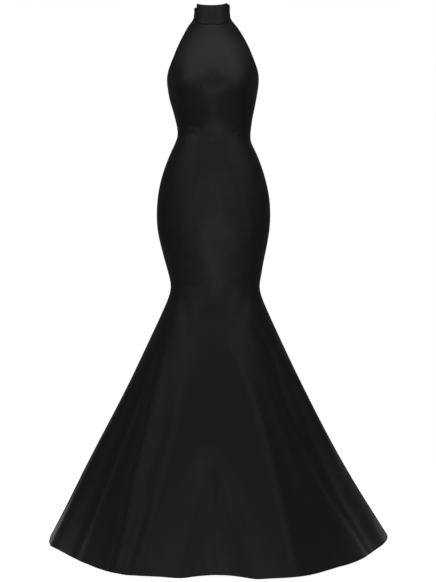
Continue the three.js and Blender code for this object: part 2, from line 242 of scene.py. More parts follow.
@dataclass(frozen=True)
class NeckSeam:
    """The seam between the front panel and the collar, and how the panel is drawn in to it."""

    sides: float = 1598
    dip: float = 28
    curve: float = 2.4
    dip_start: float = 1470
    pull_start: float = 1490
    pull_rise: float = 1.5


@dataclass(frozen=True)
class GownForm:
    """The outer surface of the gown and its collar, as in the part's source.

    A turn is in degrees from centre front, positive to the wearer's left.
    """

    neck: NeckSeam = NeckSeam()
    back_scoop: float = 88
    base_flare: float = 1.5
    base_rise: float = 16
    on_band_from: float = 46
    on_band_to: float = 62
    lap_from: float = 157
    lap_to: float = 172
    lap_lift: float = 2.6
    band_rise: float = 8
    band_rise_from: float = 80
    band_rise_to: float = 160
    half: Spline = column(SECTIONS, "half")
    front: Spline = column(SECTIONS, "front")
    back: Spline = column(SECTIONS, "back")
    lean: Spline = column(SECTIONS, "lean")
    armhole: Spline = column(ARMHOLE, "turn")
    band_left: Spline = column(BAND_TOPS, "left")
    band_right: Spline = column(BAND_TOPS, "right")

    def edge_turn(self, height: Array | float) -> Array:
        """The turn of the front panel's edge: the side seam, then the armhole."""
        above = np.minimum(90, self.armhole(height))
        return np.where(np.asarray(height) <= UNDERARM_HEIGHT, 90.0, above)

    def fullness(self, turn: Array, height: Array) -> Array:
        """How far the cut and the skirt's folds stand out from the plain section.

        Args:
            turn: Degrees from centre front.
            height: Millimetres above the hem.

        Returns:
            The distances, in millimetres.
        """
        out = np.zeros(np.broadcast(turn, height).shape)
        for fold in FOLDS:
            share = np.clip((fold.top - height) / fold.top, 0, None)
            shape = bump(turn_between(turn, fold.turn) / fold.width)
            out += fold.depth * shape * share**FOLD_RISE
        for soft in SHAPING:
            across = turn_between(turn, soft.turn) / soft.wide
            out += soft.depth * bump(np.hypot(across, (height - soft.height) / soft.tall))
        return out

    def gown_point(self, turn: Array, height: Array) -> Array:
        """A point of the gown's outer surface.

        Args:
            turn: Degrees from centre front.
            height: Millimetres above the hem.

        Returns:
            The points, in millimetres, with heights above the hem.
        """
        turn, height = np.broadcast_arrays(np.asarray(turn, float), np.asarray(height, float))
        angle = np.radians(turn)
        out = self.fullness(turn, height)
        depth = np.where(np.cos(angle) > 0, self.front(height), self.back(height))
        half = self.half(height) / np.sin(np.radians(self.edge_turn(height)))
        x = self.lean(height) + (half + out) * np.sin(angle)
        y = -(depth + out) * np.cos(angle)
        return np.stack([x, y, height], axis=-1)

    def neck_dip(self, share: Array) -> Array:
        """How far the collar seam dips at a share of the way from centre to side."""
        return self.neck.dip * np.clip(1 - np.abs(share) ** self.neck.curve, 0, None)

    def neck_seam(self, turn: Array) -> Array:
        """The height of the collar seam at a turn."""
        return self.neck.sides - self.neck_dip(turn / self.edge_turn(self.neck.sides))

    def collar_point(
        self, turn: Array, height: Array, oval: Oval, lift: Array | float = 0.0
    ) -> Array:
        """A point on the collar's outer surface.

        Args:
            turn: Degrees from centre front.
            height: Millimetres above the hem.
            oval: The plan of the collar piece.
            lift: How far it stands off that plan, where one end laps over the other.

        Returns:
            The points, in millimetres.
        """
        turn, height = np.broadcast_arrays(np.asarray(turn, float), np.asarray(height, float))
        angle = np.radians(turn)
        above = smooth(height - self.neck_seam(turn), 0, self.base_rise)
        flare = self.base_flare * (1 - above) + lift
        depth = np.where(np.cos(angle) > 0, oval.front_y, oval.back_y)
        x = (oval.radius_x + flare) * np.sin(angle)
        y = -(depth + flare) * np.cos(angle)
        return np.stack([x, y, height], axis=-1)

    def collar_seam_point(self, turn: Array) -> Array:
        """Where the front panel is sewn to the collar.

        Args:
            turn: Degrees from centre front.

        Returns:
            The points, in millimetres.
        """
        height = self.neck_seam(turn)
        on_band = smooth(np.abs(turn), self.on_band_from, self.on_band_to)[..., None]
        block = self.collar_point(turn, height, BLOCK_OVAL)
        band = self.collar_point(turn, height, BAND_OVAL)
        return block + (band - block) * on_band

    def front_point(self, across: Array, level: Array) -> Array:
        """A point of the front panel.

        Args:
            across: The percentage of the way from centre front to the panel's edge.
            level: The height at that edge.

        Returns:
            The points, in millimetres.
        """
        share, level = np.broadcast_arrays(np.asarray(across) / 100, np.asarray(level, float))
        neck = self.neck
        seam_turn = share * self.edge_turn(neck.sides)
        seam = self.collar_seam_point(seam_turn)
        pull = seam - self.gown_point(seam_turn, self.neck_seam(seam_turn))
        mirrored = 2 * neck.sides - neck.pull_start
        drawn = (2 * smooth(level, neck.pull_start, mirrored)) ** neck.pull_rise
        height = self.front_height(share, level)
        return self.gown_point(share * self.edge_turn(level), height) + pull * drawn[..., None]

    def front_height(self, share: Array, level: Array) -> Array:
        """The height of a place on the front panel, whose upper rows dip with the collar seam."""
        dipped = smooth(level, self.neck.dip_start, self.neck.sides)
        return level - self.neck_dip(share) * dipped

    def back_height(self, turn: Array, level: Array) -> Array:
        """The height on a back panel of the row that leaves the side seam at a level.

        Args:
            turn: Degrees from centre front.
            level: The height at the side seam.

        Returns:
            The heights.
        """
        across = smooth(90 - np.abs(turn_between(turn, 180)), 0, 90)
        top = UNDERARM_HEIGHT - self.back_scoop * across
        share = (level - WAIST_HEIGHT) / (UNDERARM_HEIGHT - WAIST_HEIGHT)
        scooped = WAIST_HEIGHT + share * (top - WAIST_HEIGHT)
        return np.where(np.asarray(level) <= WAIST_HEIGHT, level, scooped)

    def back_point(self, turn: Array, level: Array) -> Array:
        """A point of a back panel, on the row that leaves the side seam at a level."""
        return self.gown_point(turn, self.back_height(turn, level))

    def band_point(self, side: int, turn: Array, height: Array) -> Array:
        """A point of a band, whose turn counts on its own side. The wearer's left one laps over."""
        lift = self.lap_lift * smooth(turn, self.lap_from, self.lap_to) if side > 0 else 0.0
        return self.collar_point(side * np.asarray(turn), height, BAND_OVAL, lift)

    def band_low(self, turn: Array) -> Array:
        """The lower edge of a band: on the collar seam, then a little above it."""
        risen = self.band_rise * smooth(turn, self.band_rise_from, self.band_rise_to)
        return self.neck_seam(turn) + 2 * SEAM_GAP + risen

    def band_top(self, side: int, turn: Array) -> Array:
        """The upper edge of a band."""
        return self.band_left(turn) if side > 0 else self.band_right(turn)

    def girth_radius(self, height: Array) -> Array:
        """The mean radius of the section at a height, for distances round it."""
        return (self.half(height) + self.front(height)) / 2


FORM = GownForm()


@dataclass(frozen=True)
class Crease:
    """A soft ridge or trough of the worn silk along a path on the gown.

    Attributes:
        path: Places along it, each a turn and a height above the hem.
        width: Half its spread, in millimetres.
        depth: How far it stands out; a trough is negative.
        fade_in: The share of its length over which it starts.
        fade_out: The share of its length over which it ends.
    """

    path: tuple[tuple[float, float], ...]
    width: float
    depth: float
    fade_in: float = 0.35
    fade_out: float = 0.35

    def at(self, turn: Array, height: Array) -> Array:
        """How far the crease moves the silk outwards at each place.

        Args:
            turn: Degrees from centre front.
            height: Millimetres above the hem.

        Returns:
            The distances, in millimetres.
        """
        scale = np.radians(FORM.girth_radius(height))
        nearest = np.full(turn.shape, np.inf)
        along = np.zeros(turn.shape)
        pieces = list(zip(self.path, self.path[1:]))
        for i, ((turn_a, low), (turn_b, high)) in enumerate(pieces):
            du, dv = turn_between(turn, turn_a) * scale, height - low
            su, sv = turn_between(turn_b, turn_a) * scale, high - low
            t = np.clip((du * su + dv * sv) / (su * su + sv * sv), 0, 1)
            far = np.hypot(du - t * su, dv - t * sv)
            closer = far < nearest
            nearest = np.where(closer, far, nearest)
            along = np.where(closer, (i + t) / len(pieces), along)
        fade = np.ones(turn.shape)
        for share, place in ((self.fade_in, along), (self.fade_out, 1 - along)):
            if share:
                fade *= smooth(place, 0, share)
        return self.depth * fade * np.exp(-((nearest / self.width) ** 2))


CREASES = table(
    Crease,
    # Seen in front: across the waist and down the torso and belly.
    (((-46, 1262), (-31, 1266), (-18, 1255)), 7, -2.4),
    (((-50, 1240), (-36, 1243), (-24, 1236)), 8, -1.8),
    (((-16, 1238), (-4, 1233), (9, 1238)), 10, 2.0),
    (((48, 1256), (36, 1248), (27, 1250)), 8, -1.6),
    (((-2, 1400), (-1, 1330), (-2, 1262)), 30, 2.6),
    (((-5, 1374), (5, 1374)), 38, 3.2, 0, 0),
    (((-3, 1215), (-2, 1140), (-1, 1060)), 18, 3.2),
    # Round the thighs and knees.
    (((-12, 1215), (-16, 1150), (-22, 1080), (-28, 1010), (-31, 940), (-31, 870), (-30, 800)),
     20, 3.0),
    (((12, 1215), (17, 1150), (26, 1080), (36, 1010), (42, 940), (44, 880)), 20, 2.4),
    (((-1, 1090), (4, 1040), (14, 985), (28, 930), (38, 880), (42, 828)), 22, 3.2),
    (((0, 1000), (6, 948), (9, 900), (8, 850)), 30, -2.4),
    (((-8, 1020), (-14, 950), (-16, 890), (-12, 828)), 24, 2.6),
    (((-62, 905), (-50, 868), (-34, 842), (-18, 826)), 15, 2.0),
    (((62, 880), (50, 846), (34, 818), (20, 806)), 14, 2.0),
    (((-58, 806), (-40, 790), (-22, 788)), 9, -2.2),
    (((58, 798), (42, 784), (26, 786)), 9, -2.2),
    (((-22, 702), (-4, 696), (16, 704)), 30, -2.6),
    (((-16, 786), (1, 772), (18, 784)), 34, 3.0),
    # The lesser folds of the skirt between its main ones.
    (((-48, 810), (-44, 765), (-37, 720), (-29, 675), (-25, 610), (-25, 520)), 20, -3.0),
    (((48, 800), (42, 760), (32, 715), (22, 680), (15, 640), (12, 590)), 18, -2.4),
    (((-52, 700), (-44, 569), (-37, 366), (-36, 239), (-32, 103), (-31, 0)), 24, 7, 0.35, 0),
    (((-31, 540), (-28, 366), (-29, 239), (-27, 150)), 20, -3.8),
    (((-20, 600), (-21, 461), (-19.5, 380), (-21.5, 194), (-23, 91), (-23.5, 0)),
     20, 4.0, 0.35, 0),
    (((-26, 210), (-27.4, 114), (-28.6, 0)), 17, -6, 0.5, 0),
    (((0, 310), (0, 141), (0.7, 0)), 12, 8, 0.4, 0),
    (((-4, 350), (-8, 195), (-10, 91), (-12, 0)), 32, -18, 0.4, 0),
    (((3, 340), (7, 160), (9, 70), (11, 0)), 28, -16, 0.4, 0),
    (((8, 690), (14, 602), (22.6, 461), (24.4, 298), (23.4, 143), (22, 0)), 28, 7, 0.3, 0),
    (((40, 735), (49.6, 611), (52.7, 566), (49, 481), (48.4, 423), (51, 330), (54, 200),
      (62, 60), (64, 0)), 26, -9, 0.2, 0),
    (((36, 560), (37, 420), (38, 250), (38, 0)), 24, 4, 0.4, 0),
    (((-70, 620), (-75, 470), (-76, 290), (-77, 139), (-77, 0)), 28, 6, 0.3, 0),
    (((-58, 640), (-57, 470), (-56, 300), (-55, 0)), 22, -6, 0.3, 0),
    (((70, 640), (76, 480), (78, 300), (78, 200)), 26, 6, 0.3, 0.4),
    (((62, 420), (68, 200), (71, 90), (72, 0)), 60, -12, 0.5, 0),
    (((-80, 200), (-86, 70), (-88, 0)), 34, -3, 0.5, 0),
    # Plain ones of the same kinds for the sides and the back, which the photograph doesn't show.
    (((122, 1252), (106, 1248), (92, 1254)), 8, -2.0),
    (((-124, 1246), (-107, 1250), (-93, 1244)), 8, -2.0),
    (((168, 1196), (152, 1188), (136, 1196)), 9, -2.6),
    (((-170, 1186), (-153, 1180), (-138, 1190)), 9, -2.4),
    (((172, 1158), (158, 1148), (146, 1152)), 11, -2.0),
    (((176, 890), (160, 868), (140, 874), (122, 896)), 16, -3.4),
    (((-176, 884), (-162, 864), (-142, 870), (-124, 888)), 16, -3.0),
    (((168, 800), (150, 790), (128, 800)), 10, -2.6),
    (((-170, 794), (-150, 786), (-130, 796)), 10, -2.8),
    (((164, 768), (150, 764), (138, 770)), 10, -2.0),
    (((150, 690), (154, 500), (156, 260), (155, 0)), 26, 7, 0.3, 0),
    (((140, 560), (143, 360), (142, 160), (143, 0)), 20, -6, 0.3, 0),
    (((-150, 700), (-156, 500), (-154, 260), (-156, 0)), 26, 7, 0.3, 0),
    (((-142, 540), (-143, 340), (-141, 0)), 20, -6, 0.3, 0),
    (((120, 640), (122, 420), (120, 200), (121, 0)), 26, -7, 0.3, 0),
    (((-118, 660), (-121, 420), (-119, 0)), 26, -7, 0.3, 0),
    (((106, 600), (108, 380), (107, 160), (108, 0)), 24, 6, 0.3, 0),
    (((-108, 600), (-111, 340), (-112, 0)), 26, 3, 0.3, 0),
    (((171, 420), (169, 200), (168, 0)), 18, 5, 0.4, 0),
    (((-168, 360), (-167, 180), (-168, 0)), 16, 5, 0.4, 0),
)


class Swell(NamedTuple):
    """A wave of the silk's unevenness: how many go round, and their spacing up the body."""

    count: int
    spacing: float
    phase: float
    depth: float


SWELLS = table(
    Swell, (5, 640, 0.4, 0.30), (-8, 910, 2.1, 0.22), (3, -410, 4.0, 0.20), (-12, 530, 1.3, 0.10)
)
# The swell grows from the knees down, where the silk hangs free, and ends at the collar seam.
SNUG_SWELL, FREE_SWELL = 0.6, 1.4
KNEE_HEIGHT, FREE_DROP = 760, 500
SWELL_END, SWELL_FADE = 1585, 40


def unevenness(turn: Array, height: Array) -> Array:
    """The slight swell of silk that hangs freely, more of it in the skirt.

    Args:
        turn: Degrees from centre front.
        height: Millimetres above the hem.

    Returns:
        How far it moves the silk, in millimetres.
    """
    free = SNUG_SWELL + FREE_SWELL * smooth(KNEE_HEIGHT - height, 0, FREE_DROP)
    total = np.zeros(turn.shape)
    for swell in SWELLS:
        waves = swell.count * turn / 360 + height / swell.spacing
        total += swell.depth * np.sin(2 * np.pi * waves + swell.phase)
    return total * free * smooth(SWELL_END - height, 0, SWELL_FADE)


def relief(turn: Array, height: Array) -> Array:
    """How far the silk stands off its form, in millimetres: its creases and its unevenness.

    Args:
        turn: Degrees from centre front.
        height: Millimetres above the hem.

    Returns:
        The distances.
    """
    total = unevenness(turn, height)
    for crease in CREASES:
        total += crease.at(turn, height)
    return total


class Edge(Enum):
    """The four edges of a cloth grid."""

    FIRST_COLUMN = "first column"
    LAST_COLUMN = "last column"
    FIRST_ROW = "first row"
    LAST_ROW = "last row"


def edge_distances(points: Array) -> dict[Edge, Array]:
    """Each grid point's distance along the cloth to each edge, in millimetres.

    Args:
        points: The grid of points.

    Returns:
        The distances to each edge.
    """
    across = np.linalg.norm(np.diff(points, axis=1), axis=2)
    up = np.linalg.norm(np.diff(points, axis=0), axis=2)
    from_first = np.pad(np.cumsum(across, axis=1), ((0, 0), (1, 0)))
    from_low = np.pad(np.cumsum(up, axis=0), ((1, 0), (0, 0)))
    return {
        Edge.FIRST_COLUMN: from_first,
        Edge.LAST_COLUMN: from_first[:, -1:] - from_first,
        Edge.FIRST_ROW: from_low,
        Edge.LAST_ROW: from_low[-1:] - from_low,
    }


EDGE_STEPS = np.array([0, 0.12, 0.35, 0.75, 1.5, 2.8, 5.0])
NORMAL_STEP = 0.02


def packed_places(total: float | Array, count: int) -> Array:
    """Places from 0 to a total, close together near both ends, so that the edges round off.

    Args:
        total: The length to divide, or one for each row.
        count: How many places, ends included.

    Returns:
        The places, rising, along the last axis.
    """
    total = np.asarray(total, float)[..., None]
    steps = EDGE_STEPS * np.minimum(1, total / (4 * EDGE_STEPS[-1]))
    middle = np.linspace(0, 1, count - 2 * len(EDGE_STEPS) + 2)[1:-1]
    first, last = steps[..., -1:], total - steps[..., -1:]
    inner = first + middle * (last - first)
    return np.concatenate([steps, inner, total - steps[..., ::-1]], axis=-1)


def unit_normal(surface: Surface, across: Array, up: Array) -> Array:
    """The outward unit normal of a surface at each place of a grid.

    Args:
        surface: Gives a point for a place across and a place up.
        across: The places across.
        up: The places up.

    Returns:
        The normals.
    """
    side = surface(across + NORMAL_STEP, up) - surface(across - NORMAL_STEP, up)
    rise = surface(across, up + NORMAL_STEP) - surface(across, up - NORMAL_STEP)
    normal = np.cross(side, rise)
    return normal / np.linalg.norm(normal, axis=-1, keepdims=True)


@dataclass(frozen=True)
class Cloth:
    """How one kind of cloth wall is made up, in millimetres.

    Attributes:
        thickness: Of the whole wall.
        rim: The least share of it that is left where an edge rounds off.
        roll: How far a sewn edge turns in.
        roll_width: How far from the edge that starts.
        facing: The depth of the facing inside a free edge.
        facing_step: How far the facing stands off the lining.
        facing_blur: Half the width of that step.
        facing_start: How far from the edge the facing reaches its full step.
    """

    thickness: float = 1.3
    rim: float = 0.2
    roll: float = 0.8
    roll_width: float = 3.0
    facing: float = 32.0
    facing_step: float = 0.5
    facing_blur: float = 1.0
    facing_start: float = 2.0


@dataclass
class ClothGrid:
    """A grid of places on a surface, which becomes one thin closed cloth shell.

    Attributes:
        surface: Gives a point for a place across and a place up.
        across: Each grid point's place across.
        up: Each grid point's place up.
        stand_off: How far the silk stands off the surface, in millimetres.
        cloth: How the wall is made up.
        sewn: How far each sewn edge turns in: 1 all the way, or one share for each point.
        faced: Which points look to which free edge for their facing.
    """

    surface: Surface
    across: Array
    up: Array
    stand_off: Array
    cloth: Cloth = Cloth()
    sewn: dict[Edge, Array | float] = field(default_factory=dict)
    faced: dict[Edge, Array | float] = field(default_factory=dict)

    def layers(self) -> tuple[Array, Array, dict[Edge, Array]]:
        """Lays the silk and the lining either side of the wall's middle.

        Returns:
            The two grids, in millimetres, and the distances to each edge.
        """
        base = self.surface(self.across, self.up)
        normal = unit_normal(self.surface, self.across, self.up)
        gaps = edge_distances(base)
        cloth = self.cloth
        middle = self.stand_off - cloth.thickness / 2
        for edge, share in self.sewn.items():
            turned = 1 - smooth(gaps[edge], 0, cloth.roll_width)
            middle = middle - cloth.roll * share * turned
        nearest = np.minimum.reduce(list(gaps.values()))
        inset = 1 - np.clip(nearest / (cloth.thickness / 2), 0, 1)
        half = np.maximum(cloth.rim, np.sqrt(1 - inset**2)) * cloth.thickness / 2
        facing = np.zeros(base.shape[:2])
        ends, starts = cloth.facing - cloth.facing_blur, cloth.facing + cloth.facing_blur
        for edge, share in self.faced.items():
            facing = np.maximum(facing, (1 - smooth(gaps[edge], ends, starts)) * share)
        facing = facing * cloth.facing_step * smooth(nearest, 0, cloth.facing_start)
        outer = base + normal * (middle + half)[..., None]
        inner = base + normal * (middle - half - facing)[..., None]
        return outer, inner, gaps

    def build(self, name: str) -> Piece:
        """Makes the shell's mesh.

        Args:
            name: The new object's name.

        Returns:
            The object, with a UV map in metres of cloth and an attribute that is 0 on the silk
            side and 1 on the lining side.
        """
        outer, inner, gaps = self.layers()
        points = np.concatenate([outer.reshape(-1, 3), inner.reshape(-1, 3)])
        made = new_object(name, to_frame(points), shell_faces(*outer.shape[:2]))
        across = (gaps[Edge.FIRST_COLUMN] - gaps[Edge.LAST_COLUMN]) / 2
        weave = np.stack([across, gaps[Edge.FIRST_ROW]], axis=-1).reshape(-1, 2)
        add_weave(made, np.tile(weave, (2, 1)))
        lining = made.data.attributes.new("lining", "FLOAT", "POINT")
        lining.data.foreach_set("value", np.repeat([0.0, 1.0], len(weave)).astype(np.float32))
        return made


def shell_faces(rows: int, columns: int) -> list[list[int]]:
    """The quads of a closed shell of two grids of points, the outer one first.

    Args:
        rows: Each grid's rows.
        columns: Each grid's columns.

    Returns:
        The four points of each quad.
    """
    index = np.arange(rows * columns).reshape(rows, columns)
    low, high = index[:-1, :-1], index[1:, 1:]
    right, up = index[:-1, 1:], index[1:, :-1]
    back = rows * columns
    quads = [
        np.stack([low, right, high, up], axis=-1).reshape(-1, 4),
        np.stack([low, up, high, right], axis=-1).reshape(-1, 4) + back,
    ]
    bottom, top, first, last = index[0], index[-1], index[:, 0], index[:, -1]
    for rim, forward in ((bottom, False), (top, True), (first, True), (last, False)):
        a, b = rim[:-1], rim[1:]
        ring = [a, b, b + back, a + back] if forward else [a, a + back, b + back, b]
        quads.append(np.stack(ring, axis=-1))
    return np.concatenate(quads).tolist()


def to_frame(points: Array) -> Array:
    """Points in millimetres above the hem, as metres from the neck."""
    return (points - np.array([0, 0, NECK_HEIGHT])) * MM


def link(thing: Piece) -> Piece:
    """Puts an object in the scene."""
    bpy.context.scene.collection.objects.link(thing)
    return thing


def new_object(name: str, points: Array, faces: Sequence = (), edges: Sequence = ()) -> Piece:
    """Makes a smooth mesh object at the origin.

    Args:
        name: The object's name.
        points: Its points in metres.
        faces: The points of each face, in order seen from outside.
        edges: The two points of each loose edge.

    Returns:
        The linked object.
    """
    mesh = bpy.data.meshes.new(name)
    mesh.from_pydata(np.asarray(points, float).tolist(), edges, faces)
    mesh.update()
    mesh.shade_smooth()
    return link(bpy.data.objects.new(name, mesh))


def add_weave(piece: Piece, places: Array) -> None:
    """Gives a piece the UV map of its cloth, from each point's place on it in millimetres.

    Args:
        piece: The piece.
        places: The places, two numbers for each point.
    """
    mesh = piece.data
    corners = np.zeros(len(mesh.loops), np.int32)
    mesh.loops.foreach_get("vertex_index", corners)
    layer = mesh.uv_layers.new(name="Weave")
    layer.uv.foreach_set("vector", (places[corners] * MM).astype(np.float32).ravel())


def bake(piece: Piece) -> None:
    """Gives a piece the plain smooth mesh that its modifiers make, and removes them.

    Args:
        piece: The piece.
    """
    source = piece.data
    bpy.context.view_layer.update()
    depsgraph = bpy.context.evaluated_depsgraph_get()
    shown = piece.evaluated_get(depsgraph)
    baked = bpy.data.meshes.new_from_object(shown, depsgraph=depsgraph)
    piece.modifiers.clear()
    piece.data = baked
    baked.shade_smooth()
    bpy.data.meshes.remove(source)


def linear(hex_colour: str) -> tuple[float, float, float, float]:
    """Turns an sRGB hex colour into linear values.

    Args:
        hex_colour: A colour such as #0d0d0e.

    Returns:
        Red, green, blue and an alpha of 1.
    """
    digits = hex_colour.lstrip("#")
    channels = [int(digits[i : i + 2], 16) / 255 for i in (0, 2, 4)]
    values = [c / 12.92 if c <= 0.04045 else ((c + 0.055) / 1.055) ** 2.4 for c in channels]
    return (*values, 1.0)


def add_node(
    tree: Tree, kind: str, settings: dict | None = None, **links: Socket
) -> bpy.types.Node:
    """Adds a node with its settings and links.

    Args:
        tree: The node tree.
        kind: The node's type.
        settings: Node properties by name, and socket values by their place or name.
        **links: An output socket for each input, which is named with underscores for spaces, or
            given by its place, such as i0 for the first.

    Returns:
        The new node.
    """
    node = tree.nodes.new(kind)
    for key, value in (settings or {}).items():
        if isinstance(key, int) or key in node.inputs:
            node.inputs[key].default_value = value
        else:
            setattr(node, key, value)
    for key, source in links.items():
        place = int(key[1:]) if key[1:].isdigit() and key[0] == "i" else key.replace("_", " ")
        tree.links.new(source, node.inputs[place])
    return node


def new_material(name: str) -> tuple[Material, Tree]:
    """Makes an empty node material.

    Args:
        name: The material's name.

    Returns:
        The material and its tree.
    """
    material = bpy.data.materials.new(name)
    material.use_nodes = True
    material.node_tree.nodes.clear()
    return material, material.node_tree


def add_surface(tree: Tree, settings: dict, **links: Socket) -> None:
    """Adds a material's output, and its shader with plain values and linked ones."""
    shader = add_node(tree, "ShaderNodeBsdfPrincipled", settings, **links)
    add_node(tree, "ShaderNodeOutputMaterial", Surface=shader.outputs["BSDF"])


# The wave texture repeats every 2 pi / 20 at a scale of 1.
WAVE_PERIOD = 2 * math.pi / 20


def add_bands(
    tree: Tree, place: Socket, direction: str, spacing: float, **settings: float
) -> Socket:
    """Adds even bands on the cloth.

    Args:
        tree: The material's tree.
        place: The place on the cloth.
        direction: Which way the bands follow each other.
        spacing: From one to the next, in metres.
        **settings: The texture's other values.

    Returns:
        The height of the bands, from 0 to 1.
    """
    values = {"wave_type": "BANDS", "bands_direction": direction, "Scale": WAVE_PERIOD / spacing}
    values.update({name.replace("_", " "): value for name, value in settings.items()})
    return add_node(tree, "ShaderNodeTexWave", values, Vector=place).outputs["Fac"]


@dataclass(frozen=True)
class SilkFaille:
    """Heavy silk faille: crosswise ribs of a soft filament warp over a spun weft.

    The warp floats catch a broad, low sheen, and the ribs break it up, so the cloth reads as deep
    black with a soft bloom where it faces the light. The ribs are about 0.9 mm apart on the real
    cloth and are drawn at 1.1 mm. Inside, the same finish with the ribs smoothed is the lining.
    """

    slot: str = "silk"
    deep: str = "#090909"
    raised: str = "#0d0d0e"
    roughness: float = 0.48
    roughness_swing: float = 0.03
    rib_spacing: float = 0.0011
    slub_length: float = 0.045
    slub_height: float = 0.0035

    def make(self) -> Material:
        """Builds the material.

        Returns:
            The material.
        """
        material, tree = new_material("silk_faille")
        place = add_node(tree, "ShaderNodeUVMap", {"uv_map": "Weave"}).outputs["UV"]
        lining = add_node(tree, "ShaderNodeAttribute", {"attribute_name": "lining"}).outputs["Fac"]
        ribs = add_bands(
            tree, place, "Y", self.rib_spacing, Distortion=0.6, Detail=1.0, Detail_Scale=2.0
        )
        slub_scale = (1 / self.slub_length, 1 / self.slub_height, 1)
        stretched = add_node(tree, "ShaderNodeMapping", {"Scale": slub_scale}, Vector=place)
        slubs = add_node(
            tree, "ShaderNodeTexNoise", {"Scale": 1.0, "Detail": 3.0},
            Vector=stretched.outputs["Vector"],
        ).outputs["Fac"]
        broad = add_node(tree, "ShaderNodeTexNoise", {"Scale": 14.0, "Detail": 2.0}, Vector=place)
        outside = add_node(tree, "ShaderNodeMath", {"operation": "SUBTRACT", 0: 1.0}, i1=lining)
        rib_height = add_node(
            tree, "ShaderNodeMath", {"operation": "MULTIPLY"}, i0=ribs, i1=outside.outputs[0]
        )
        height = add_node(
            tree, "ShaderNodeMath", {"operation": "MULTIPLY_ADD", 1: 0.8},
            i0=slubs, i2=rib_height.outputs[0],
        )
        raised = add_node(
            tree, "ShaderNodeBump", {"Strength": 0.22, "Distance": 0.00025},
            Height=height.outputs[0],
        )
        colours = {"data_type": "RGBA", 6: linear(self.deep), 7: linear(self.raised)}
        colour = add_node(tree, "ShaderNodeMix", colours, Factor=slubs)
        least, most = self.roughness - self.roughness_swing, self.roughness + self.roughness_swing
        rough = add_node(
            tree, "ShaderNodeMapRange", {"To Min": least, "To Max": most},
            Value=broad.outputs["Fac"],
        )
        add_surface(
            tree, {"Specular IOR Level": 0.11}, Base_Color=colour.outputs[2],
            Roughness=rough.outputs["Result"], Normal=raised.outputs["Normal"],
        )
        return material


@dataclass(frozen=True)
class TapeCloth:
    """Matt woven polyester zip tape: a fine herringbone, which only shows close to."""

    slot: str = "zip_cloth"
    colour: str = "#0e0e10"
    roughness: float = 0.85
    thread_spacing: float = 0.0006

    def make(self) -> Material:
        """Builds the material.

        Returns:
            The material.
        """
        material, tree = new_material("zip_tape_cloth")
        place = add_node(tree, "ShaderNodeUVMap", {"uv_map": "Weave"}).outputs["UV"]
        threads = add_bands(tree, place, "DIAGONAL", self.thread_spacing)
        raised = add_node(
            tree, "ShaderNodeBump", {"Strength": 0.3, "Distance": 0.0002}, Height=threads
        )
        plain = {"Base Color": linear(self.colour), "Roughness": self.roughness}
        add_surface(tree, plain, Normal=raised.outputs["Normal"])
        return material


@dataclass(frozen=True)
class PlainFinish:
    """A finish with one colour and one roughness all over."""

    name: str
    slot: str
    colour: str
    roughness: float
    coat: float = 0.0
    glow: float = 0.0

    def make(self) -> Material:
        """Builds the material.

        Returns:
            The material.
        """
        material, tree = new_material(self.name)
        add_surface(tree, {
            "Base Color": linear(self.colour), "Roughness": self.roughness,
            "Coat Weight": self.coat,
            "Emission Color": (1, 1, 1, 1), "Emission Strength": self.glow,
        })
        return material


# Matt white acrylic, lit from beneath, as the studio floor: an even pale ground.
STUDIO_WHITE = PlainFinish("studio_white", "", "#f4f4f4", 0.9, glow=0.9)


class Finish(Enum):
    """The gown's finishes, each with the record's material slot that it is for."""

    SILK = SilkFaille()
    ZIP_CLOTH = TapeCloth()
    # Stove enamel on die-cast zinc: a smooth satin black with a small bright highlight.
    BLACK_METAL = PlainFinish("black_enamel", "black_metal", "#121213", 0.32, coat=0.3)
    # Spun polyester sewing thread: matt black, so stitches read as small dull beads.
    THREAD = PlainFinish("sewing_thread", "zip_cloth", "#101011", 0.7)
    # Moulded nylon zip coil: semi-matt black plastic.
    COIL = PlainFinish("nylon_coil", "zip_cloth", "#0d0d0e", 0.45)


@dataclass(frozen=True)
class Cut:
    """The flat size of a cloth piece before it was sewn, in metres and square metres."""

    width: float
    length: float
    area: float


class Wardrobe:
    """Makes each finish once, dresses pieces in it and puts them on the part."""

    def __init__(self) -> None:
        """Builds every material of the gown."""
        self.materials = {finish: finish.value.make() for finish in Finish}

    def place(self, piece: Piece, finish: Finish, node: str = "", body: str = "gown") -> Piece:
        """Dresses a piece and puts it on the part.

        Args:
            piece: The piece.
            finish: Its finish.
            node: The solid it stands for, if any.
            body: The body it rides on.

        Returns:
            The piece.
        """
        piece.data.materials.clear()
        piece.data.materials.append(self.materials[finish])
        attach(piece, body)
        if node:
            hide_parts(node)
        return piece

    def place_silk(self, piece: Piece, node: str, cut: Cut, held: str) -> Piece:
        """Places a silk piece that hangs from the collar.

        Args:
            piece: The piece.
            node: The solid it stands for.
            cut: Its flat size; not used.
            held: How the silk is held; not used.

        Returns:
            The piece.
        """
        self.place(piece, Finish.SILK, node)
        return piece


